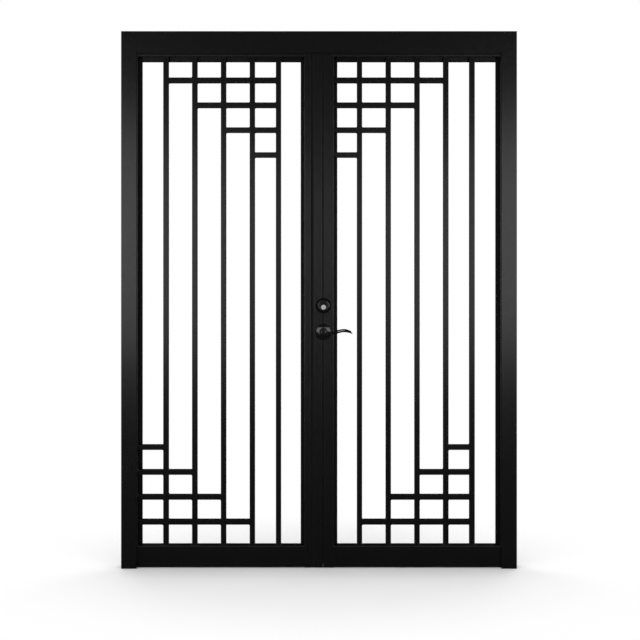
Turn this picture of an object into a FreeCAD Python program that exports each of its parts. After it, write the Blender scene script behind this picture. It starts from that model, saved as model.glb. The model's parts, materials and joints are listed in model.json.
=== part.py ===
# Double steel security door: an angle-iron frame with two barred leaves that swing to the rear.
# Millimetres. X runs right along the wall, Y away from the viewer, Z up from the floor.
# The origin is at the foot of the left jamb's wall face, in the middle of its depth.
import FreeCAD, Part
import math
import os

from FreeCAD import Vector

# Whole unit
unit_width = 1524.0
unit_height = 2070.0

# Angle-iron frame
angle_thick = 4.8
jamb_depth = 50.8
header_face = 82.5
jamb_reveal = 1.8
angle_root_radius = 4.0
angle_toe_radius = 1.6
screw_radius = 4.5
screw_heights = (200.0, 700.0, 1300.0, 1800.0)

# Clearances
leaf_clearance = 5.0
floor_clearance = 2.5
meeting_gap = 6.8
pin_clearance = 0.05
knuckle_gap = 1.0
seal_stagger = 0.4
lock_seam_gap = 0.8

# Leaf tubes
leaf_depth = 38.1
hinge_stile_width = 50.8
left_lock_stile_width = 27.9
outer_lock_tube_width = 38.1
inner_lock_tube_width = 41.95
top_rail_face = 85.5
bottom_rail_face = 83.4
tube_wall = 1.9
tube_radius = 4.0
plug_thick = 3.0
plug_inset = 0.8
plug_clearance = 0.1

# Screen flange behind the bars
flange_width = 14.0
flange_thick = 3.2
flange_inset = 1.8

# Grille bars
bar_size = 20.0
bar_wall = 1.5
bar_radius = 1.8
lock_side_space = 99.7
upright_pitch = 111.6
last_upright_pitch = 101.5
upright_count = 5
first_crossbar = 88.3
crossbar_pitch = 96.5
crossbar_rows = 4

# Barrel hinges
hinge_heights = (250.0, 1035.0, 1820.0)
barrel_radius = 7.0
pin_radius = 4.0
barrel_standoff = 8.2
knuckle_round = 1.2
pin_head_height = 2.6
pin_head_radius = 5.4
pin_head_round = 1.8
end_knuckle_length = 33.0
middle_knuckle_length = 34.0
strap_length = 40.0
strap_thick = 4.0

# Lock
lever_height = 911.5
deadbolt_spacing = 101.6
collar_radius = 30.0
collar_rim = 2.5
collar_shoulder_radius = 23.0
collar_height = 17.0
collar_crest_radius = 19.5
collar_mouth_radius = 17.0
collar_recess = 6.5
collar_floor_radius = 16.0
cylinder_radius = 9.4
cylinder_drop = 6.0
cylinder_inset = 4.5
cylinder_clearance = 0.05
cylinder_edge_round = 0.8
key_slot_width = 2.2
key_slot_height = 8.5
key_slot_depth = 6.0
rosette_radius = 31.0
rosette_height = 11.0
rosette_top_radius = 13.0
rosette_dome_radius = 38.0
rosette_edge_round = 2.5
neck_radius = 9.0
neck_clearance = 0.3
hub_radius = 11.5
hub_length = 20.0
hub_crown = 4.0
hub_back_round = 2.0
lever_standoff = 42.0
lever_depth = 15.0
lever_tip_depth = 10.0
spindle_size = 8.0
spindle_hole_radius = 9.0
spindle_grip = 18.0

# Lever arm seen from the front: reach, rise and height of its section
lever_stations = ((0.0, 0.0, 13.0), (26.0, -2.4, 9.2), (51.0, -1.0, 6.8), (79.0, 4.0, 6.0),
                  (103.0, -0.6, 5.4))
lever_tip = (110.0, -3.6, 4.0)

# Plates in the meeting edges, and the ends of the bolts behind them
edge_plate_width = 24.0
edge_plate_margin = 44.0
edge_plate_corner = 5.0
bolt_mouth_width = 14.0
bolt_mouth_height = 26.0
bolt_clearance = 0.3
bolt_inset = 0.4
bolt_length = 30.0
latch_bevel = 9.0

# Meeting seals
seal_thick = 3.0
seal_inset = 0.5
seal_overlap = 0.3

# Worked-out planes
frame_front = -jamb_depth / 2
frame_rear = jamb_depth / 2
leaf_front = frame_front + angle_thick + leaf_clearance
leaf_rear = leaf_front + leaf_depth
leaf_middle = (leaf_front + leaf_rear) / 2
jamb_face = angle_thick + leaf_clearance + hinge_stile_width - jamb_reveal
leaf_bottom = floor_clearance
leaf_top = unit_height - angle_thick - leaf_clearance
opening_bottom = leaf_bottom + bottom_rail_face
opening_top = leaf_top - top_rail_face
left_edge = angle_thick + leaf_clearance
right_edge = unit_width - left_edge
lock_widths = left_lock_stile_width + outer_lock_tube_width + inner_lock_tube_width
opening_width = (right_edge - left_edge - 2 * hinge_stile_width - lock_widths - meeting_gap) / 2
left_opening = left_edge + hinge_stile_width
left_meeting = left_opening + opening_width + left_lock_stile_width
right_meeting = left_meeting + meeting_gap
lock_seam = right_meeting + outer_lock_tube_width
right_opening = lock_seam + inner_lock_tube_width
lock_centre = (right_meeting + right_opening) / 2
deadbolt_height = lever_height + deadbolt_spacing
cylinder_height = deadbolt_height - cylinder_drop
edge_plate_centre = lever_height + deadbolt_spacing / 2
edge_plate_height = deadbolt_spacing + 2 * edge_plate_margin
uprights_width = upright_pitch * (upright_count - 2) + last_upright_pitch
left_first_upright = left_opening + opening_width - lock_side_space - uprights_width
right_first_upright = right_opening + lock_side_space
seal_reach = (meeting_gap + seal_overlap) / 2
right_seal_front = leaf_front + seal_inset
left_seal_front = right_seal_front + seal_thick + seal_stagger
flange_rear = leaf_rear - flange_inset
hinge_axis_x = angle_thick + leaf_clearance / 2
hinge_axis_y = frame_rear + barrel_standoff


def box(low, high):
    """Block between two corners."""
    size = Vector(*high) - Vector(*low)
    return Part.makeBox(size.x, size.y, size.z, Vector(*low))


def cylinder(radius, start, direction, length):
    """Round bar from a start point."""
    return Part.makeCylinder(radius, length, Vector(*start), Vector(*direction))


def rounded_block(low, high, run, radius):
    """Block with the four edges along one axis rounded."""
    block = box(low, high)
    along = {"x": Vector(1, 0, 0), "y": Vector(0, 1, 0), "z": Vector(0, 0, 1)}[run]
    edges = [edge for edge in block.Edges if edge.tangentAt(0).cross(along).Length < 1e-6]
    return block.makeFillet(radius, edges)


def tube(low, high, run, radius, wall):
    """Square or rectangular hollow section, open at both ends along its run."""
    inset = Vector(wall, wall, wall)
    reach = {"x": Vector(wall, 0, 0), "z": Vector(0, 0, wall)}[run]
    inner_low = Vector(*low) + inset - 2 * reach
    inner_high = Vector(*high) - inset + 2 * reach
    bore = rounded_block(tuple(inner_low), tuple(inner_high), run, max(radius - wall, wall / 4))
    return rounded_block(low, high, run, radius).cut(bore)


def mirrored(shape):
    """Copy on the other side of the unit's middle."""
    return shape.mirror(Vector(unit_width / 2, 0, 0), Vector(1, 0, 0))


def turned(corners, centre_z, base, outward):
    """Turned lock piece: corners are (radius, height) off the stile face, or (middle, end) pairs for arcs."""
    def place(corner):
        return Vector(lock_centre + corner[0], base + outward * corner[1], centre_z)

    edges = []
    current = corners[0]
    for corner in corners[1:] + corners[:1]:
        if isinstance(corner[0], tuple):
            middle, corner = corner
            edges.append(Part.Arc(place(current), place(middle), place(corner)).toShape())
        else:
            edges.append(Part.LineSegment(place(current), place(corner)).toShape())
        current = corner
    face = Part.Face(Part.Wire(edges))
    return face.revolve(Vector(lock_centre, base, centre_z), Vector(0, 1, 0), 360)


def round_rim(shape, centre, radius, fillet):
    """Round the circular edge with a given middle and radius."""
    rims = []
    for edge in shape.Edges:
        if isinstance(edge.Curve, Part.Circle) and abs(edge.Curve.Radius - radius) < 1e-6:
            rims += [edge] if edge.Curve.Center.isEqual(Vector(*centre), 1e-6) else []
    return shape.makeFillet(fillet, rims)


def domed_cylinder(radius, start, direction, length, fillet):
    """Round bar with a rounded rim at its far end."""
    far_end = Vector(*start) + Vector(*direction) * length
    return round_rim(cylinder(radius, start, direction, length), tuple(far_end), radius, fillet)


def save(name, shapes):
    """Write one node, whether it is one solid or several."""
    solids = shapes if isinstance(shapes, list) else [shapes]
    shape = solids[0] if len(solids) == 1 else Part.makeCompound(solids)
    shape.exportStep(f"parts/{name}.step")


def angle_outline(across, deep):
    """Rolled angle section with a rounded root and toes, its heel at the origin."""
    heel = box((0, 0, 0), (across, angle_thick, 1))
    leg = box((0, 0, 0), (angle_thick, deep, 1))
    section = heel.fuse(leg).removeSplitter()
    root = []
    toes = []
    for edge in section.Edges:
        middle = edge.CenterOfMass
        if edge.tangentAt(0).cross(Vector(0, 0, 1)).Length > 1e-6:
            continue
        if abs(middle.x - angle_thick) + abs(middle.y - angle_thick) < 1e-6:
            root.append(edge)
        if abs(middle.x - across) + abs(middle.y - angle_thick) < 1e-6:
            toes.append(edge)
        if abs(middle.x - angle_thick) + abs(middle.y - deep) < 1e-6:
            toes.append(edge)
    section = section.makeFillet(angle_root_radius, root)
    toe_middles = [toe.CenterOfMass for toe in toes]
    toes = []
    for edge in section.Edges:
        toes += [edge for middle in toe_middles if edge.CenterOfMass.isEqual(middle, 1e-6)]
    return section.makeFillet(angle_toe_radius, toes)


def angle_bar(across, deep, length):
    """Length of angle standing along Z, its heel at the origin."""
    face = [face for face in angle_outline(across, deep).Faces if face.CenterOfMass.z < 1e-6][0]
    return face.extrude(Vector(0, 0, length))


def make_left_jamb():
    """Angle jamb: front flange up to the header, wall leg on up behind it, coped to its root."""
    jamb = angle_bar(jamb_face, jamb_depth, unit_height - header_face)
    jamb.translate(Vector(0, frame_front, 0))
    leg_low = (0, frame_front + angle_thick, unit_height - header_face)
    leg = box(leg_low, (angle_thick, frame_rear, unit_height - angle_thick))
    jamb = jamb.fuse(leg)
    for height in screw_heights:
        jamb = jamb.cut(cylinder(screw_radius, (-1, 0, height), (1, 0, 0), angle_thick + 2))
    return jamb.cut(make_header()).removeSplitter()


def make_header():
    """Angle header: tall front flange and a top leg."""
    header = angle_bar(header_face, jamb_depth, unit_width)
    header.rotate(Vector(0, 0, 0), Vector(0, 1, 0), 90)
    header.translate(Vector(0, frame_front, unit_height))
    return header


def make_jamb_hinge(height):
    """Two end knuckles on weld necks behind the jamb leg, with the headed pin fixed in them."""
    axis = (hinge_axis_x, hinge_axis_y)
    half_middle = middle_knuckle_length / 2 + knuckle_gap
    half_total = half_middle + end_knuckle_length
    hinge = cylinder(pin_radius, (*axis, height - half_total), (0, 0, 1), 2 * half_total)
    for side in (-1, 1):
        outward = (0, 0, side)
        inner_end = (*axis, height + side * half_middle)
        outer_end = (*axis, height + side * half_total)
        knuckle = domed_cylinder(barrel_radius, inner_end, outward, end_knuckle_length, knuckle_round)
        head = domed_cylinder(pin_head_radius, outer_end, outward, pin_head_height, pin_head_round)
        neck_ends = sorted((inner_end[2], outer_end[2] - side * knuckle_round))
        neck = box((0, frame_rear, neck_ends[0]), (angle_thick, hinge_axis_y, neck_ends[1]))
        hinge = hinge.fuse(knuckle).fuse(neck).fuse(head)
    return hinge.removeSplitter()


def make_leaf_hinge(height):
    """Middle knuckle turning on the pin, with its neck and strap on the stile's rear face."""
    axis = (hinge_axis_x, hinge_axis_y)
    bottom = height - middle_knuckle_length / 2
    top = bottom + middle_knuckle_length
    knuckle = cylinder(barrel_radius, (*axis, bottom), (0, 0, 1), middle_knuckle_length)
    neck = box((left_edge, leaf_rear, bottom), (hinge_axis_x + barrel_radius, hinge_axis_y, top))
    strap = box((left_edge, leaf_rear, bottom), (left_edge + strap_length, leaf_rear + strap_thick, top))
    knuckle = knuckle.fuse(neck).fuse(strap).removeSplitter()
    bore = cylinder(pin_radius + pin_clearance, (*axis, bottom - 1), (0, 0, 1), middle_knuckle_length + 2)
    return knuckle.cut(bore)


def stile(left, right):
    """Upright leaf tube over the leaf's full height."""
    return tube((left, leaf_front, leaf_bottom), (right, leaf_rear, leaf_top), "z", tube_radius, tube_wall)


def rail(left, bottom, top):
    """Level leaf tube between the stiles."""
    right = left + opening_width
    return tube((left, leaf_front, bottom), (right, leaf_rear, top), "x", tube_radius, tube_wall)


def upright_centres(first):
    """Middles of the grille's uprights across one leaf."""
    centres = [first + upright_pitch * place for place in range(upright_count - 1)]
    return centres + [centres[-1] + last_upright_pitch]


def make_uprights(first):
    """Grille uprights between the rails."""
    bars = []
    for centre in upright_centres(first):
        low = (centre - bar_size / 2, leaf_middle - bar_size / 2, opening_bottom)
        high = (centre + bar_size / 2, leaf_middle + bar_size / 2, opening_top)
        bars.append(tube(low, high, "z", bar_radius, bar_wall))
    return bars


def crossbar_row(opening, first_upright, height, first, last):
    """One stepped row of short bars; posts are numbered from the left stile, 0, to the right one."""
    centres = upright_centres(first_upright)
    left_faces = [opening] + [centre + bar_size / 2 for centre in centres]
    right_faces = [centre - bar_size / 2 for centre in centres] + [opening + opening_width]
    bars = []
    for bay in range(first, last):
        low = (left_faces[bay], leaf_middle - bar_size / 2, height - bar_size / 2)
        high = (right_faces[bay], leaf_middle + bar_size / 2, height + bar_size / 2)
        bars.append(tube(low, high, "x", bar_radius, bar_wall))
    return bars


def make_steps(opening, first_upright, from_rail, upward, from_left_stile):
    """Triangle of crossbar rows that lose a bay with each row away from the rail."""
    bars = []
    for row in range(crossbar_rows):
        height = from_rail + upward * (first_crossbar + crossbar_pitch * row)
        if from_left_stile:
            bars += crossbar_row(opening, first_upright, height, 0, crossbar_rows - row)
        else:
            bars += crossbar_row(opening, first_upright, height, 1 + row, upright_count)
    return bars


def side_flange(left):
    """Upright screen flange on the side of a stile, near its back."""
    low = (left, flange_rear - flange_thick, opening_bottom)
    return box(low, (left + flange_width, flange_rear, opening_top))


def top_flange(opening):
    """Level screen flange under the top rail, between the side flanges."""
    low = (opening + flange_width, flange_rear - flange_thick, opening_top - flange_width)
    return box(low, (opening + opening_width - flange_width, flange_rear, opening_top))


def make_stile_plugs(stiles):
    """Caps just inside both ends of each upright tube, given its left and right sides."""
    plugs = []
    inset = tube_wall + plug_clearance
    plug_radius = tube_radius - tube_wall
    for left, right in stiles:
        for bottom in (leaf_bottom + plug_inset, leaf_top - plug_inset - plug_thick):
            low = (left + inset, leaf_front + inset, bottom)
            high = (right - inset, leaf_rear - inset, bottom + plug_thick)
            plugs.append(rounded_block(low, high, "z", plug_radius))
    return plugs


def edge_plate_block(left, right):
    """Space of a flush plate with rounded corners in a meeting edge."""
    half_width = edge_plate_width / 2
    half_height = edge_plate_height / 2
    low = (left, leaf_middle - half_width, edge_plate_centre - half_height)
    high = (right, leaf_middle + half_width, edge_plate_centre + half_height)
    return rounded_block(low, high, "x", edge_plate_corner)


def make_edge_plate(left, right):
    """Flush plate with the mouths of the latch and the bolt."""
    plate = edge_plate_block(left, right)
    for height in (deadbolt_height, lever_height):
        low = (left - 1, leaf_middle - bolt_mouth_width / 2, height - bolt_mouth_height / 2)
        high = (right + 1, leaf_middle + bolt_mouth_width / 2, height + bolt_mouth_height / 2)
        plate = plate.cut(box(low, high))
    return plate


def make_bolt(height):
    """Square-ended bolt drawn back behind its mouth in the active leaf's plate."""
    half_width = bolt_mouth_width / 2 - bolt_clearance
    half_height = bolt_mouth_height / 2 - bolt_clearance
    end = right_meeting + bolt_inset
    low = (end, leaf_middle - half_width, height - half_height)
    return box(low, (end + bolt_length, leaf_middle + half_width, height + half_height))


def make_latch():
    """Spring latch drawn back behind its mouth, with a bevelled tongue."""
    latch = make_bolt(lever_height)
    end = right_meeting + bolt_inset
    rear = leaf_middle + bolt_mouth_width / 2 - bolt_clearance
    corners = [Vector(end, rear, 0), Vector(end + latch_bevel, rear, 0), Vector(end, rear - latch_bevel, 0)]
    wedge = Part.Face(Part.makePolygon(corners + corners[:1])).extrude(Vector(0, 0, unit_height))
    return latch.cut(wedge)


def drill_lock_holes(stile_tube):
    """Clear way for the lever's spindle through a lock stile tube."""
    start = (lock_centre, leaf_front - 1, lever_height)
    return stile_tube.cut(cylinder(spindle_hole_radius, start, (0, 1, 0), leaf_depth + 2))


def make_collar(base, outward):
    """Deadbolt collar: tapered side, round crest and a dished mouth with the cylinder low in its floor."""
    crest_drop = collar_shoulder_radius - collar_crest_radius
    bend = math.sqrt(0.5)
    crest_middle = (collar_crest_radius + crest_drop * bend, collar_height - crest_drop * (1 - bend))
    corners = [(0, 0), (collar_radius, 0), (collar_radius, collar_rim),
               (collar_shoulder_radius, collar_height - crest_drop),
               (crest_middle, (collar_crest_radius, collar_height)), (collar_mouth_radius, collar_height),
               (collar_floor_radius, collar_height - collar_recess), (0, collar_height - collar_recess)]
    collar = turned(corners, deadbolt_height, base, outward)
    bore_radius = cylinder_radius + cylinder_clearance
    bore = cylinder(bore_radius, (lock_centre, base, cylinder_height), (0, outward, 0), collar_height)
    return collar.cut(bore)


def make_key_cylinder(base, outward):
    """Key cylinder seated in the collar, with a rounded rim and an upright key slot."""
    length = collar_height - cylinder_inset
    start = (lock_centre, base, cylinder_height)
    body = domed_cylinder(cylinder_radius, start, (0, outward, 0), length, cylinder_edge_round)
    tip = base + outward * length
    slot_inner = tip - outward * key_slot_depth
    slot_low = min(tip + outward, slot_inner)
    slot_high = max(tip + outward, slot_inner)
    half = key_slot_width / 2
    slot = box((lock_centre - half, slot_low, cylinder_height - key_slot_height / 2),
               (lock_centre + half, slot_high, cylinder_height + key_slot_height / 2))
    return body.cut(slot)


def make_rosette(base, outward):
    """Domed round plate with a rounded rim, which guides the lever's neck."""
    bore = neck_radius + pin_clearance
    half_turn = math.asin((rosette_radius - rosette_top_radius) / rosette_dome_radius) / 2

    def on_dome(turn):
        drop = rosette_dome_radius * (1 - math.cos(turn))
        return rosette_top_radius + rosette_dome_radius * math.sin(turn), rosette_height - drop

    rim = on_dome(2 * half_turn)
    corners = [(bore, 0), (rosette_radius, 0), rim,
               (on_dome(half_turn), (rosette_top_radius, rosette_height)), (bore, rosette_height)]
    plate = turned(corners, lever_height, base, outward)
    rim_middle = (lock_centre, base + outward * rim[1], lever_height)
    return round_rim(plate, rim_middle, rosette_radius, rosette_edge_round)


def lever_section(reach, rise, height, depth, middle):
    """Oval section of the lever arm at one station."""
    oval = Part.Ellipse(Vector(0, 0, 0), depth / 2, height / 2).toShape()
    oval.rotate(Vector(0, 0, 0), Vector(1, 0, 0), 90)
    oval.rotate(Vector(0, 0, 0), Vector(0, 0, 1), 90)
    oval.translate(Vector(lock_centre + reach, middle, lever_height + rise))
    return Part.Wire([oval])


def make_lever(base, outward):
    """Neck, crowned hub and wave-shaped arm in one piece."""
    middle = base + outward * lever_standoff
    neck_start = (lock_centre, base + outward * neck_clearance, lever_height)
    neck = cylinder(neck_radius, neck_start, (0, outward, 0), lever_standoff - neck_clearance)
    hub_start = (lock_centre, middle - outward * hub_length / 2, lever_height)
    hub = domed_cylinder(hub_radius, hub_start, (0, outward, 0), hub_length, hub_crown)
    hub = round_rim(hub, hub_start, hub_radius, hub_back_round)
    sections = [lever_section(*station, lever_depth, middle) for station in lever_stations]
    sections.append(lever_section(*lever_tip, lever_tip_depth, middle))
    arm = Part.makeLoft(sections, True, False)
    lever = neck.fuse(hub).fuse(arm)
    return lever.cut(spindle_block())


def spindle_block():
    """Square spindle from one lever's neck to the other's."""
    half = spindle_size / 2
    low = (lock_centre - half, leaf_front - spindle_grip, lever_height - half)
    return box(low, (lock_centre + half, leaf_rear + spindle_grip, lever_height + half))


def make_frame():
    """Fixed frame and its half of the hinges."""
    left_jamb = make_left_jamb()
    left_hinges = [make_jamb_hinge(height) for height in hinge_heights]
    save("left_jamb", left_jamb)
    save("right_jamb", mirrored(left_jamb))
    save("header", make_header())
    save("left_jamb_hinges", left_hinges)
    save("right_jamb_hinges", [mirrored(hinge) for hinge in left_hinges])


def make_left_leaf():
    """Inactive leaf: narrow lock stile, steps down from the top and up from the bottom."""
    hinge_sides = (left_edge, left_opening)
    lock_sides = (left_meeting - left_lock_stile_width, left_meeting)
    lock_stile = stile(*lock_sides)
    plate_space = (left_meeting - tube_wall, left_meeting)
    save("left_hinge_stile", stile(*hinge_sides))
    save("left_stile_plugs", make_stile_plugs([hinge_sides, lock_sides]))
    save("left_lock_stile", lock_stile.cut(edge_plate_block(*plate_space)))
    save("strike_plate", make_edge_plate(*plate_space))
    save("left_top_rail", rail(left_opening, opening_top, leaf_top))
    save("left_bottom_rail", rail(left_opening, leaf_bottom, opening_bottom))
    save("left_uprights", make_uprights(left_first_upright))
    save("left_top_crossbars", make_steps(left_opening, left_first_upright, opening_top, -1, False))
    save("left_bottom_crossbars", make_steps(left_opening, left_first_upright, opening_bottom, 1, True))
    save("left_hinge_side_flange", side_flange(left_opening))
    save("left_lock_side_flange", side_flange(left_opening + opening_width - flange_width))
    save("left_top_flange", top_flange(left_opening))
    save("left_leaf_hinges", [make_leaf_hinge(height) for height in hinge_heights])
    seal_high = (left_meeting + seal_reach, left_seal_front + seal_thick, leaf_top)
    save("left_meeting_seal", box((left_meeting, left_seal_front, leaf_bottom), seal_high))


def make_right_leaf():
    """Active leaf: doubled lock stile with the lock, and the grille turned top to bottom."""
    outer_sides = (right_meeting, lock_seam - lock_seam_gap / 2)
    inner_sides = (lock_seam + lock_seam_gap / 2, right_opening)
    hinge_sides = (right_edge - hinge_stile_width, right_edge)
    outer_tube = drill_lock_holes(stile(*outer_sides))
    inner_tube = drill_lock_holes(stile(*inner_sides))
    plate_space = (right_meeting, right_meeting + tube_wall)
    save("right_outer_lock_stile", outer_tube.cut(edge_plate_block(*plate_space)))
    save("right_inner_lock_stile", inner_tube)
    save("lock_faceplate", make_edge_plate(*plate_space))
    save("deadbolt_bolt", make_bolt(deadbolt_height))
    save("latch_bolt", make_latch())
    save("right_hinge_stile", stile(*hinge_sides))
    save("right_stile_plugs", make_stile_plugs([outer_sides, inner_sides, hinge_sides]))
    save("right_top_rail", rail(right_opening, opening_top, leaf_top))
    save("right_bottom_rail", rail(right_opening, leaf_bottom, opening_bottom))
    save("right_uprights", make_uprights(right_first_upright))
    save("right_top_crossbars", make_steps(right_opening, right_first_upright, opening_top, -1, True))
    save("right_bottom_crossbars", make_steps(right_opening, right_first_upright, opening_bottom, 1, False))
    save("right_hinge_side_flange", side_flange(right_opening + opening_width - flange_width))
    save("right_lock_side_flange", side_flange(right_opening))
    save("right_top_flange", top_flange(right_opening))
    save("right_leaf_hinges", [mirrored(make_leaf_hinge(height)) for height in hinge_heights])
    seal_high = (right_meeting, right_seal_front + seal_thick, leaf_top)
    save("right_meeting_seal", box((right_meeting - seal_reach, right_seal_front, leaf_bottom), seal_high))
    save("front_deadbolt_collar", make_collar(leaf_front, -1))
    save("rear_deadbolt_collar", make_collar(leaf_rear, 1))
    save("front_key_cylinder", make_key_cylinder(leaf_front, -1))
    save("rear_key_cylinder", make_key_cylinder(leaf_rear, 1))
    save("front_rosette", make_rosette(leaf_front, -1))
    save("rear_rosette", make_rosette(leaf_rear, 1))


def make_lever_set():
    """Two levers that turn together on a square spindle."""
    save("front_lever", make_lever(leaf_front, -1))
    save("rear_lever", make_lever(leaf_rear, 1))
    save("lever_spindle", spindle_block())


os.makedirs("parts", exist_ok=True)
make_frame()
make_left_leaf()
make_right_leaf()
make_lever_set()
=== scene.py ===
# Studio scene of the double steel security door: finishes, weld beads, screws, light and camera
import json
import math

import bmesh
import bpy
from mathutils import Matrix, Vector


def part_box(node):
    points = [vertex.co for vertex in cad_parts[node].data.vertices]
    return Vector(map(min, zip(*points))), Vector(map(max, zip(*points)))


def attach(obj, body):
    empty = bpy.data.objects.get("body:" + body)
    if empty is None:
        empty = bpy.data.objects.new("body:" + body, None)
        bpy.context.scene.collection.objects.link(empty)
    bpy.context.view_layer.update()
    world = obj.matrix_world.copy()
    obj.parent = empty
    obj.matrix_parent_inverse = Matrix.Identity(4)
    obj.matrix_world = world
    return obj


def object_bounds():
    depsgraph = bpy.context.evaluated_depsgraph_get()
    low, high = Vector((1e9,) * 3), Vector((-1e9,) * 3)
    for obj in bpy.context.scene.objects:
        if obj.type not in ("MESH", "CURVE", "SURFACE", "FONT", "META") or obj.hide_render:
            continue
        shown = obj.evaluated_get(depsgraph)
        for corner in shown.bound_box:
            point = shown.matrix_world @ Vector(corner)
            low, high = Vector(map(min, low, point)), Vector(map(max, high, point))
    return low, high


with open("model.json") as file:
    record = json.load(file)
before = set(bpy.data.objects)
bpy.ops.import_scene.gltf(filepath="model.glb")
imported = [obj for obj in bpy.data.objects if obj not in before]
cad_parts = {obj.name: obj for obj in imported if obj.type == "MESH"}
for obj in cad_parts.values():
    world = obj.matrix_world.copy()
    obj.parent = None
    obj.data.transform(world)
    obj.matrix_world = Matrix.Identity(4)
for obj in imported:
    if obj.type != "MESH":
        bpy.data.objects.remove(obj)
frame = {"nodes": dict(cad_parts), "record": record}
cad_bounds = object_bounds()
nodes = frame["nodes"]
front_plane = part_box("header")[0][1]
middle_x = (cad_bounds[0][0] + cad_bounds[1][0]) / 2

# Directions: right along the wall, away from the viewer, and up
ACROSS = Vector((1, 0, 0))
DEPTH = Vector((0, 1, 0))
UP = Vector((0, 0, 1))

# Photograph's frame: real size of a pixel at the front plane, and the pixel of the camera's axis
PIXEL = 0.00385
IMAGE_SIZE = 640
AXIS_X_PIXEL = 319.0
AXIS_Y_PIXEL = 283.0
FLOOR_Y_PIXEL = 568.8
CAMERA_DISTANCE = 3.5
SENSOR = 36.0

# Softboxes in front of the door and behind it: place, width and height, watts for each square metre
SOFTBOX_SIDE = 1.655
SOFTBOX_HEIGHT = 1.50
SOFTBOX_SIZE = (2.70, 1.70)
SOFTBOX_STRENGTH = 5.14
SOFTBOX_ROLL = math.radians(15.7)
REAR_SOFTBOX_SIDE = 3.0
REAR_SOFTBOX_SIZE = (2.6, 2.4)
REAR_SOFTBOX_STRENGTH = 6.43

# Surroundings: the floor fades to plain white over an oval band, and the walls show in reflections
WHITE = (1, 1, 1, 1)
BLACK = (0, 0, 0, 1)
FLOOR_HALF = 40.0
FLOOR_COLOUR = (0.92, 0.92, 0.92, 1)
FLOOR_ROUGHNESS = 0.9
FADE_SPAN = (0.36, 0.90)
FADE_SQUEEZE = 0.5
WALL_RADIUS = 14.0
WALL_CENTRE_HEIGHT = 1.0
WALL_SUBDIVISIONS = 3
WALL_GLOW = 0.01

# Black powder coat: its darkest and palest shade, and the roughness and gloss of each kind
COAT_SHADES = ((0.0034, 0.0034, 0.0035), (0.0043, 0.0042, 0.0042))
SATIN_ROUGHNESS = (0.225, 0.265)
FLAT_ROUGHNESS = (0.55, 0.65)
TUBE_GLOSS = 0.5
GRILLE_GLOSS = 0.32
FLAT_GLOSS = 0.15

# Coat on round edges: its roughness, and the span of a normal's summed fourth powers over which it fades
EDGE_ROUGHNESS = 0.48
EDGE_SPAN = (0.94, 0.997)

# Lock, edge plates and seals
LOCK_COLOUR = (0.004, 0.004, 0.0042, 1)
LOCK_ROUGHNESS = (0.16, 0.24)
LOCK_COAT = 0.8
LOCK_COAT_ROUGHNESS = 0.12
NICKEL_COLOUR = (0.90, 0.89, 0.87)
NICKEL_ROUGHNESS = (0.36, 0.46)
STEEL_COLOUR = (0.50, 0.49, 0.47)
STEEL_ROUGHNESS = (0.28, 0.42)
BRUSHING_STRETCH = (2500.0, 2500.0, 90.0)
BRUSHING_SHADE = 0.88
SEAL_SHADES = ((0.003, 0.003, 0.003), (0.005, 0.005, 0.005))
SEAL_ROUGHNESS = 0.65
SEAL_GLOSS = 0.2

# Noises of the finishes: scale and detail, and the values that are carried to the ends of a range
CLOUD_NOISE = (6.0, 3.0)
PATCH_NOISE = (40.0, 4.0)
GRAIN_NOISE = (900.0, 2.0)
SMEAR_NOISE = (120.0, 4.0)
BRUSHING_NOISE = (1.0, 3.0)
SEAL_NOISE = (1500.0, 2.0)
NOISE_SPAN = (0.3, 0.7)

# Bumps of the grains: strength and distance
COAT_BUMP = (0.07, 0.0003)
SEAL_BUMP = (0.3, 0.0004)

# Weld beads: fillets in open corners, dressed beads where two faces run flush
FILLET_RADIUS = 0.0022
FLUSH_RADIUS = 0.0010
FLUSH_SINK = 0.0006
FLUSH_BLEND = 0.3
RIPPLE_SHARE = 0.10
RIPPLE_PITCH = 0.0040
BEAD_STEP = 0.0020
BEAD_LEAST_STEPS = 6
BEAD_SIDES = 8
BEAD_END_SHARE = 0.45
BAR_CORNER = 0.0018
BAR_CORNER_STEPS = 3
GROOVE_RADIUS = 0.0017
GROOVE_ASIDE = 0.0012
GROOVE_DEPTH = 0.0016
STITCH_LENGTH = 0.028
STITCH_PITCH = 0.310
SEAM_RADIUS = 0.0020
SEAM_DEPTH = 0.0022
SEAM_COVER = 0.008
STRAP_ROOT = 0.008
LEAF_STILES = {"left": ("hinge_stile", "lock_stile"), "right": ("inner_lock_stile", "hinge_stile")}

# Distances within which two points count as one, and a bar's end as touching a stile
MERGE_DISTANCE = 1e-6
TOUCH_DISTANCE = 1e-4

# Line of glue that beds the right leaf's seal
GLUE_RADIUS = 0.0005
GLUE_ASIDE = 0.0001

# Screws: the profiles are shares of the head's or the socket's radius, and of the head's height
PLATE_SCREW_RADIUS = 0.0042
PLATE_SCREW_HEIGHT = 0.0007
PLATE_SCREW_EDGE = 0.013
ROSETTE_SCREW_RADIUS = 0.0036
ROSETTE_SCREW_HEIGHT = 0.0030
ROSETTE_SCREW_CIRCLE = 0.0215
ROSETTE_SCREW_SINK = 0.0012
HEAD_PROFILE = ((1.0, -0.6), (1.0, 0.35), (0.86, 0.82), (0.70, 1.0))
SOCKET_PROFILE = ((1.0, 1.0), (0.94, -0.2))
SOCKET_SHARE = 0.52
SCREW_SIDES = 24


def new_material(name):
    """New material, its node tree and its shader."""
    material = bpy.data.materials.new(name)
    material.use_nodes = True
    tree = material.node_tree
    shader = tree.nodes["Principled BSDF"]
    return material, tree, shader


def set_values(node, values):
    """Constant values on a node's own sockets."""
    for name, value in values.items():
        node.inputs[name].default_value = value


def add_node(tree, kind, **values):
    """Shader node with its plain settings and input values."""
    node = tree.nodes.new(kind)
    for key, value in values.items():
        if key in node.inputs:
            node.inputs[key].default_value = value
        else:
            setattr(node, key, value)
    return node


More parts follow.
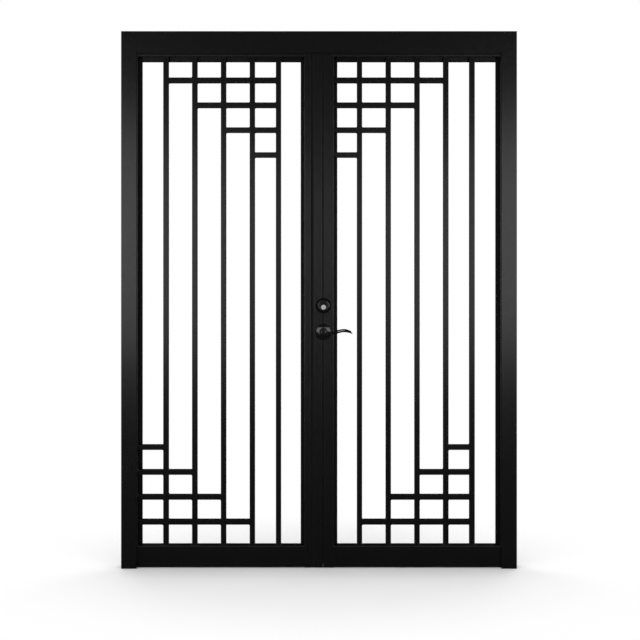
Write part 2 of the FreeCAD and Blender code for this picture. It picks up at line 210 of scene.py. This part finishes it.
def object_noise(tree, settings, stretch=None):
    """Noise of a scale and detail fixed to the object's own frame, stretched if asked."""
    scale, detail = settings
    place = add_node(tree, "ShaderNodeTexCoord").outputs["Object"]
    if stretch:
        mapping = add_node(tree, "ShaderNodeMapping", Scale=stretch)
        tree.links.new(place, mapping.inputs["Vector"])
        place = mapping.outputs["Vector"]
    noise = add_node(tree, "ShaderNodeTexNoise", Scale=scale, Detail=detail)
    tree.links.new(place, noise.inputs["Vector"])
    return noise.outputs["Fac"]


def map_range(tree, source, span, limits, interpolation="LINEAR"):
    """Value carried from a span to the limits of another, and kept within them."""
    node = add_node(tree, "ShaderNodeMapRange", interpolation_type=interpolation)
    node.inputs["From Min"].default_value, node.inputs["From Max"].default_value = span
    node.inputs["To Min"].default_value, node.inputs["To Max"].default_value = limits
    tree.links.new(source, node.inputs["Value"])
    return node.outputs["Result"]


def mix_colours(tree, factor, shades):
    """Colour between two shades by a factor."""
    factor_socket, first_socket, second_socket, result_socket = 0, 6, 7, 2
    node = add_node(tree, "ShaderNodeMix", data_type="RGBA")
    node.inputs[first_socket].default_value = (*shades[0], 1)
    node.inputs[second_socket].default_value = (*shades[1], 1)
    tree.links.new(factor, node.inputs[factor_socket])
    return node.outputs[result_socket]


def add_bump(tree, shader, height, settings):
    """Bump of a strength and distance on a shader from a height."""
    strength, distance = settings
    bump = add_node(tree, "ShaderNodeBump", Strength=strength, Distance=distance)
    tree.links.new(height, bump.inputs["Height"])
    tree.links.new(bump.outputs["Normal"], shader.inputs["Normal"])


def edge_roughness(tree):
    """Roughness that rises where a face turns away from the axes, as on the round edges of a tube."""
    place = add_node(tree, "ShaderNodeTexCoord")
    squares = add_node(tree, "ShaderNodeVectorMath", operation="MULTIPLY")
    flatness = add_node(tree, "ShaderNodeVectorMath", operation="DOT_PRODUCT")
    for socket in (0, 1):
        tree.links.new(place.outputs["Normal"], squares.inputs[socket])
        tree.links.new(squares.outputs["Vector"], flatness.inputs[socket])
    return map_range(tree, flatness.outputs["Value"], EDGE_SPAN, (EDGE_ROUGHNESS, 0))


def powder_coat(name, roughness_limits, gloss, dull_edges):
    """Black powder coat with faint clouds and a fine grain, duller on round edges if asked."""
    material, tree, shader = new_material(name)
    clouds = object_noise(tree, CLOUD_NOISE)
    tree.links.new(mix_colours(tree, clouds, COAT_SHADES), shader.inputs["Base Color"])
    patches = object_noise(tree, PATCH_NOISE)
    roughness = map_range(tree, patches, NOISE_SPAN, roughness_limits)
    if dull_edges:
        rougher = add_node(tree, "ShaderNodeMath", operation="MAXIMUM")
        tree.links.new(roughness, rougher.inputs[0])
        tree.links.new(edge_roughness(tree), rougher.inputs[1])
        roughness = rougher.outputs["Value"]
    tree.links.new(roughness, shader.inputs["Roughness"])
    set_values(shader, {"Specular IOR Level": gloss})
    add_bump(tree, shader, object_noise(tree, GRAIN_NOISE), COAT_BUMP)
    return material


def lock_black():
    """Glossy black lock finish with slight smears."""
    material, tree, shader = new_material("glossy_black_lock")
    set_values(shader, {"Base Color": LOCK_COLOUR, "Coat Weight": LOCK_COAT})
    set_values(shader, {"Coat Roughness": LOCK_COAT_ROUGHNESS})
    smears = object_noise(tree, SMEAR_NOISE)
    roughness = map_range(tree, smears, NOISE_SPAN, LOCK_ROUGHNESS)
    tree.links.new(roughness, shader.inputs["Roughness"])
    return material


def satin_metal(name, colour, roughness_limits):
    """Bare metal with fine brushing."""
    material, tree, shader = new_material(name)
    set_values(shader, {"Metallic": 1.0})
    brushing = object_noise(tree, BRUSHING_NOISE, BRUSHING_STRETCH)
    dark = [BRUSHING_SHADE * channel for channel in colour]
    tree.links.new(mix_colours(tree, brushing, (dark, colour)), shader.inputs["Base Color"])
    roughness = map_range(tree, brushing, NOISE_SPAN, roughness_limits)
    tree.links.new(roughness, shader.inputs["Roughness"])
    return material


def seal_rubber():
    """Matt black seal with a fine grain."""
    material, tree, shader = new_material("matt_seal")
    set_values(shader, {"Roughness": SEAL_ROUGHNESS, "Specular IOR Level": SEAL_GLOSS})
    grain = object_noise(tree, SEAL_NOISE)
    tree.links.new(mix_colours(tree, grain, SEAL_SHADES), shader.inputs["Base Color"])
    add_bump(tree, shader, grain, SEAL_BUMP)
    return material


finishes = {
    "powder_coat": powder_coat("satin_black_powder_coat", SATIN_ROUGHNESS, TUBE_GLOSS, False),
    "lock_black": lock_black(),
    "key_cylinder": satin_metal("satin_nickel", NICKEL_COLOUR, NICKEL_ROUGHNESS),
    "edge_plate": satin_metal("brushed_steel", STEEL_COLOUR, STEEL_ROUGHNESS),
    "seal": seal_rubber(),
}
tube_finish = powder_coat("tube_black_powder_coat", SATIN_ROUGHNESS, TUBE_GLOSS, True)
grille_finish = powder_coat("dull_black_powder_coat", SATIN_ROUGHNESS, GRILLE_GLOSS, True)
flange_finish = powder_coat("flat_black_powder_coat", FLAT_ROUGHNESS, FLAT_GLOSS, False)


def node_finish(name, slot):
    """Finish of a node by its name, or else by its slot."""
    if name.endswith(("_jamb", "header", "_stile", "_rail")):
        return tube_finish
    if name.endswith(("_top_flange", "_uprights", "_crossbars")):
        return grille_finish
    if name.endswith("_side_flange"):
        return flange_finish
    return finishes[slot]


def dress_nodes():
    """Give every solid its finish."""
    for entry in frame["record"]["subparts"]:
        piece = nodes[entry["node"]]
        piece.data.materials.clear()
        piece.data.materials.append(node_finish(entry["node"], entry["material_slot"]))


def add_object(name, mesh, material):
    """Put a finished mesh in the scene."""
    data = bpy.data.meshes.new(name)
    mesh.to_mesh(data)
    mesh.free()
    data.materials.append(material)
    shown = bpy.data.objects.new(name, data)
    bpy.context.scene.collection.objects.link(shown)
    return shown


def add_piece(name, mesh, slot, body):
    """Put a finished mesh in the scene as a piece that rides on a body."""
    bmesh.ops.recalc_face_normals(mesh, faces=mesh.faces)
    piece = add_object(name, mesh, finishes[slot])
    for polygon in piece.data.polygons:
        polygon.use_smooth = True
    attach(piece, body)


def corners(name):
    """Lowest and highest corners of a node."""
    low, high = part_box(name)
    return Vector(low), Vector(high)


def solid_boxes(name):
    """Lowest and highest corners of each separate solid in a node."""
    mesh = bmesh.new()
    mesh.from_mesh(nodes[name].data)
    bmesh.ops.remove_doubles(mesh, verts=mesh.verts, dist=MERGE_DISTANCE)
    boxes = []
    unseen = set(mesh.verts)
    while unseen:
        group = []
        front = [unseen.pop()]
        while front:
            corner = front.pop()
            group.append(corner.co.copy())
            near = [edge.other_vert(corner) for edge in corner.link_edges]
            front += [other for other in near if other in unseen]
            unseen.difference_update(near)
        low = Vector([min(point[axis] for point in group) for axis in range(3)])
        high = Vector([max(point[axis] for point in group) for axis in range(3)])
        boxes.append((low, high))
    mesh.free()
    return sorted(boxes, key=lambda box: tuple(box[0]))


def skin(mesh, rings, closed):
    """Faces between rings of points, which close on themselves or are capped at both ends."""
    following = rings[1:] + rings[:1] if closed else rings[1:]
    for ring, after in zip(rings, following):
        for side, corner in enumerate(ring):
            beside = (side + 1) % len(ring)
            mesh.faces.new((corner, ring[beside], after[beside], after[side]))
    if not closed:
        mesh.faces.new(rings[0])
        mesh.faces.new(rings[-1])


def sweep(mesh, points, axis, radii, closed):
    """Round section of varying radius carried along points; axis is square to the path."""
    rings = []
    count = len(points)
    for place, point in enumerate(points):
        before = points[place - 1] if closed or place > 0 else point
        after = points[(place + 1) % count] if closed or place < count - 1 else point
        across = (after - before).normalized().cross(axis)
        ring = []
        for side in range(BEAD_SIDES):
            turn = math.tau * side / BEAD_SIDES
            offset = math.cos(turn) * axis + math.sin(turn) * across
            ring.append(mesh.verts.new(point + radii[place] * offset))
        rings.append(ring)
    skin(mesh, rings, closed)


def ripple(length):
    """Swelling of a bead along its length."""
    return 1 + RIPPLE_SHARE * math.cos(math.tau * length / RIPPLE_PITCH)


def straight_bead(mesh, start, end, radius, end_share=BEAD_END_SHARE):
    """Rippled bead between two points, with a share of its radius at the ends."""
    run = (end - start).length
    count = max(BEAD_LEAST_STEPS, round(run / BEAD_STEP))
    points = [start.lerp(end, place / count) for place in range(count + 1)]
    radii = [radius * ripple(run * place / count) for place in range(count + 1)]
    radii[0] = radii[-1] = end_share * radius
    sweep(mesh, points, DEPTH, radii, closed=False)


def points_between(start, end):
    """Points along a straight side at the beads' step, without its ends."""
    steps = round(math.dist(start, end) / BEAD_STEP)
    return [tuple(a + (b - a) * step / steps for a, b in zip(start, end)) for step in range(1, steps)]


def square_outline(half_u, half_v):
    """Points round a rounded square, evenly enough for a bead."""
    outline = []
    for quarter, (sign_u, sign_v) in enumerate(((1, 1), (-1, 1), (-1, -1), (1, -1))):
        centre_u = sign_u * (half_u - BAR_CORNER)
        centre_v = sign_v * (half_v - BAR_CORNER)
        arc = []
        for step in range(BAR_CORNER_STEPS + 1):
            turn = math.radians(90 * (quarter + step / BAR_CORNER_STEPS))
            arc.append((centre_u + BAR_CORNER * math.cos(turn), centre_v + BAR_CORNER * math.sin(turn)))
        if outline:
            outline += points_between(outline[-1], arc[0])
        outline += arc
    return outline + points_between(outline[-1], outline[0])


def ring_bead(mesh, centre, axis, aside, half_depth, half_aside, dressed):
    """Bead round a bar's end; its front and rear sides are dressed flush if asked."""
    points = []
    radii = []
    length = 0.0
    for in_depth, to_side in square_outline(half_depth, half_aside):
        lean = (abs(to_side) / half_aside - abs(in_depth) / half_depth) / FLUSH_BLEND + 0.5
        open_share = min(max(lean, 0), 1) if dressed else 1.0
        sink = FLUSH_SINK * (1 - open_share) * (1 if in_depth > 0 else -1)
        point = centre + (in_depth - sink) * DEPTH + to_side * aside
        length += (point - points[-1]).length if points else 0
        radius = FLUSH_RADIUS + (FILLET_RADIUS - FLUSH_RADIUS) * open_share
        points.append(point)
        radii.append(radius * ripple(length))
    sweep(mesh, points, axis, radii, closed=True)


def grille_beads(mesh, leaf, stile_faces):
    """Beads at both ends of every bar in one leaf's grille."""
    for low, high in solid_boxes(f"{leaf}_uprights"):
        middle = (low + high) / 2
        half = (high - low) / 2
        for z in (low.z, high.z):
            end = Vector((middle.x, middle.y, z))
            ring_bead(mesh, end, UP, ACROSS, half.y, half.x, False)
    for rows in ("top", "bottom"):
        for low, high in solid_boxes(f"{leaf}_{rows}_crossbars"):
            middle = (low + high) / 2
            half = (high - low) / 2
            for x in (low.x, high.x):
                on_stile = min(abs(x - face) for face in stile_faces) < TOUCH_DISTANCE
                end = Vector((x, middle.y, middle.z))
                ring_bead(mesh, end, ACROSS, UP, half.y, half.z, not on_stile)


def rail_beads(mesh, leaf):
    """Dressed beads in the grooves where the rails meet the stiles, front and rear."""
    for name in (f"{leaf}_top_rail", f"{leaf}_bottom_rail"):
        low, high = corners(name)
        for x in (low.x - GROOVE_ASIDE, high.x + GROOVE_ASIDE):
            for y in (low.y + GROOVE_DEPTH, high.y - GROOVE_DEPTH):
                start = Vector((x, y, low.z + GROOVE_DEPTH))
                end = Vector((x, y, high.z - GROOVE_DEPTH))
                straight_bead(mesh, start, end, GROOVE_RADIUS)


def stitches(mesh, start, end):
    """Short dressed beads, evenly spaced along a groove."""
    run = (end - start).length
    count = round(run / STITCH_PITCH)
    half = (end - start).normalized() * STITCH_LENGTH / 2
    for place in range(count):
        middle = start.lerp(end, (place + 0.5) / count)
        straight_bead(mesh, middle - half, middle + half, GROOVE_RADIUS)


def flange_beads(mesh, leaf):
    """Stitch welds in the corner between the back of the screen flange and the tubes."""
    # The hinge edge is the left edge of the left leaf, and the lock edge that of the right leaf
    for edge, left_edge_of in (("hinge", "left"), ("lock", "right")):
        low, high = corners(f"{leaf}_{edge}_side_flange")
        x = low.x - GROOVE_ASIDE if leaf == left_edge_of else high.x + GROOVE_ASIDE
        stitches(mesh, Vector((x, high.y, low.z)), Vector((x, high.y, high.z)))
    low, high = corners(f"{leaf}_top_flange")
    z = high.z + GROOVE_ASIDE
    stitches(mesh, Vector((low.x, high.y, z)), Vector((high.x, high.y, z)))


def strap_beads(mesh, leaf):
    """Beads round the three free edges of each hinge strap."""
    stile_low, stile_high = corners(f"{leaf}_hinge_stile")
    y = stile_high.y
    root = stile_low.x + STRAP_ROOT if leaf == "left" else stile_high.x - STRAP_ROOT
    for low, high in solid_boxes(f"{leaf}_leaf_hinges"):
        free_end = high.x if leaf == "left" else low.x
        places = ((root, low.z), (free_end, low.z), (free_end, high.z), (root, high.z))
        outline = [Vector((x, y, z)) for x, z in places]
        for start, end in zip(outline, outline[1:]):
            straight_bead(mesh, start, end, FILLET_RADIUS)


def seam_beads(mesh):
    """Bead down the rear groove between the two lock tubes, left out behind the rosette."""
    outer_low, outer_high = corners("right_outer_lock_stile")
    inner_low, _ = corners("right_inner_lock_stile")
    rosette_low, rosette_high = corners("rear_rosette")
    x = (outer_high.x + inner_low.x) / 2
    y = outer_high.y - SEAM_DEPTH
    spans = ((outer_low.z, rosette_low.z + SEAM_COVER), (rosette_high.z - SEAM_COVER, outer_high.z))
    for bottom, top in spans:
        straight_bead(mesh, Vector((x, y, bottom)), Vector((x, y, top)), SEAM_RADIUS, end_share=1)


def make_welds():
    """All the beads of each leaf as one piece."""
    for leaf, stiles in LEAF_STILES.items():
        stile_faces = [corner.x for stile in stiles for corner in corners(f"{leaf}_{stile}")]
        mesh = bmesh.new()
        grille_beads(mesh, leaf, stile_faces)
        rail_beads(mesh, leaf)
        flange_beads(mesh, leaf)
        strap_beads(mesh, leaf)
        if leaf == "right":
            seam_beads(mesh)
        add_piece(f"{leaf}_welds", mesh, "powder_coat", f"{leaf}_leaf")


def make_seal_glue():
    """Line of glue in the groove between the right leaf's seal and the round edge of its stile."""
    low, high = corners("right_meeting_seal")
    x = high.x + GLUE_ASIDE
    y = (low.y + high.y) / 2
    mesh = bmesh.new()
    ends = (Vector((x, y, low.z)), Vector((x, y, high.z)))
    sweep(mesh, ends, DEPTH, (GLUE_RADIUS, GLUE_RADIUS), closed=False)
    add_piece("right_seal_glue", mesh, "seal", "right_leaf")


def hexagon(turn):
    """Reach of a six-sided outline at a turn, as a share of its reach at the corners."""
    side = math.pi / 3
    return math.cos(side / 2) / math.cos(turn % side - side / 2)


def screw_head(mesh, centre, outward, radius, height):
    """Low round head with a six-sided socket."""
    aside = outward.orthogonal().normalized()
    beside = outward.cross(aside)
    outlines = [(share * radius, rise, False) for share, rise in HEAD_PROFILE]
    outlines += [(share * SOCKET_SHARE * radius, rise, True) for share, rise in SOCKET_PROFILE]
    rings = []
    for reach, rise, six_sided in outlines:
        ring = []
        for side in range(SCREW_SIDES):
            turn = math.tau * side / SCREW_SIDES
            span = reach * hexagon(turn) if six_sided else reach
            radial = math.cos(turn) * aside + math.sin(turn) * beside
            ring.append(mesh.verts.new(centre + rise * height * outward + span * radial))
        rings.append(ring)
    skin(mesh, rings, closed=False)


def make_plate_screws(name, plate, body, side):
    """Two screws near the ends of a meeting-edge plate."""
    low, high = corners(plate)
    face = high.x if side > 0 else low.x
    mesh = bmesh.new()
    for z in (low.z + PLATE_SCREW_EDGE, high.z - PLATE_SCREW_EDGE):
        centre = Vector((face, (low.y + high.y) / 2, z))
        screw_head(mesh, centre, side * ACROSS, PLATE_SCREW_RADIUS, PLATE_SCREW_HEIGHT)
    add_piece(name, mesh, "edge_plate", body)


def make_rosette_screws():
    """Two through screws in the rear rosette, above and below the lever."""
    low, high = corners("rear_rosette")
    centre = (low + high) / 2
    mesh = bmesh.new()
    for side in (-1, 1):
        z = centre.z + side * ROSETTE_SCREW_CIRCLE
        place = Vector((centre.x, high.y - ROSETTE_SCREW_SINK, z))
        screw_head(mesh, place, DEPTH, ROSETTE_SCREW_RADIUS, ROSETTE_SCREW_HEIGHT)
    add_piece("rear_rosette_screws", mesh, "lock_black", "right_leaf")


def floor_finish():
    """White that takes shadows near the door and fades to plain white over an oval."""
    material, tree, shader = new_material("white_floor")
    set_values(shader, {"Base Color": FLOOR_COLOUR, "Roughness": FLOOR_ROUGHNESS})
    place = add_node(tree, "ShaderNodeNewGeometry")
    oval = add_node(tree, "ShaderNodeMapping")
    set_values(oval, {"Location": (-FADE_SQUEEZE * middle_x, 0, 0), "Scale": (FADE_SQUEEZE, 1, 1)})
    reach = add_node(tree, "ShaderNodeVectorMath", operation="LENGTH")
    tree.links.new(place.outputs["Position"], oval.inputs["Vector"])
    tree.links.new(oval.outputs["Vector"], reach.inputs[0])
    fade = map_range(tree, reach.outputs["Value"], FADE_SPAN, (0, 1), "SMOOTHSTEP")
    white = add_node(tree, "ShaderNodeEmission")
    mix = add_node(tree, "ShaderNodeMixShader")
    tree.links.new(fade, mix.inputs["Fac"])
    tree.links.new(shader.outputs["BSDF"], mix.inputs[1])
    tree.links.new(white.outputs["Emission"], mix.inputs[2])
    tree.links.new(mix.outputs["Shader"], tree.nodes["Material Output"].inputs["Surface"])
    return material


def make_floor():
    """Floor that keeps the door's shadow."""
    mesh = bmesh.new()
    centre = Matrix.Translation((middle_x, 0, 0))
    bmesh.ops.create_grid(mesh, x_segments=1, y_segments=1, size=FLOOR_HALF, matrix=centre)
    floor = add_object("floor", mesh, floor_finish())
    floor.visible_glossy = False


def make_world():
    """White surroundings."""
    world = bpy.data.worlds.new("white_studio")
    world.use_nodes = True
    set_values(world.node_tree.nodes["Background"], {"Color": WHITE, "Strength": 1.0})
    bpy.context.scene.world = world


def dark_wall():
    """Black with a faint glow."""
    material, _, shader = new_material("dark_wall")
    set_values(shader, {"Base Color": BLACK, "Specular IOR Level": 0.0})
    set_values(shader, {"Emission Color": WHITE, "Emission Strength": WALL_GLOW})
    return material


def make_dark_walls():
    """Dark studio walls that show only in reflections."""
    mesh = bmesh.new()
    centre = Matrix.Translation((middle_x, 0, WALL_CENTRE_HEIGHT))
    bmesh.ops.create_icosphere(mesh, subdivisions=WALL_SUBDIVISIONS, radius=WALL_RADIUS, matrix=centre)
    walls = add_object("dark_walls", mesh, dark_wall())
    walls.visible_camera = False
    walls.visible_diffuse = False
    walls.visible_transmission = False
    walls.visible_shadow = False


def add_softbox(name, place, size, strength, roll):
    """Rectangular lamp that faces the middle of the door at its own height."""
    lamp = bpy.data.lights.new(name, "AREA")
    lamp.shape = "RECTANGLE"
    lamp.size, lamp.size_y = size
    lamp.energy = strength * lamp.size * lamp.size_y
    holder = bpy.data.objects.new(name, lamp)
    bpy.context.scene.collection.objects.link(holder)
    holder.location = place
    aim = Vector((middle_x, 0, place[2])) - Vector(place)
    facing = aim.to_track_quat("-Z", "Y").to_matrix()
    holder.rotation_euler = (facing @ Matrix.Rotation(roll, 3, "Z")).to_euler()
    holder.visible_camera = False


def make_lights():
    """Softboxes left and right of the camera, their inner ends lower, and a pair behind the door."""
    for side, name in ((-1, "left"), (1, "right")):
        front = (middle_x + side * SOFTBOX_SIDE, front_plane - CAMERA_DISTANCE, SOFTBOX_HEIGHT)
        rear = (middle_x + side * REAR_SOFTBOX_SIDE, front_plane + CAMERA_DISTANCE, SOFTBOX_HEIGHT)
        add_softbox(f"front_{name}_softbox", front, SOFTBOX_SIZE, SOFTBOX_STRENGTH, side * SOFTBOX_ROLL)
        add_softbox(f"rear_{name}_softbox", rear, REAR_SOFTBOX_SIZE, REAR_SOFTBOX_STRENGTH, 0)


def make_camera():
    """Level camera in front of the door, framed as in the photograph."""
    camera = bpy.data.cameras.new("camera")
    holder = bpy.data.objects.new("camera", camera)
    bpy.context.scene.collection.objects.link(holder)
    height = (FLOOR_Y_PIXEL - AXIS_Y_PIXEL) * PIXEL
    holder.location = (middle_x, front_plane - CAMERA_DISTANCE, height)
    holder.rotation_euler = (math.radians(90), 0, 0)
    camera.sensor_width = SENSOR
    camera.lens = SENSOR * CAMERA_DISTANCE / (IMAGE_SIZE * PIXEL)
    camera.shift_x = (IMAGE_SIZE / 2 - AXIS_X_PIXEL) / IMAGE_SIZE
    camera.shift_y = (AXIS_Y_PIXEL - IMAGE_SIZE / 2) / IMAGE_SIZE
    bpy.context.scene.camera = holder


bpy.context.scene.view_settings.view_transform = "Standard"
dress_nodes()
make_welds()
make_seal_glue()
make_plate_screws("faceplate_screws", "lock_faceplate", "right_leaf", -1)
make_plate_screws("strike_screws", "strike_plate", "left_leaf", 1)
make_rosette_screws()
make_floor()
make_world()
make_dark_walls()
make_lights()
make_camera()
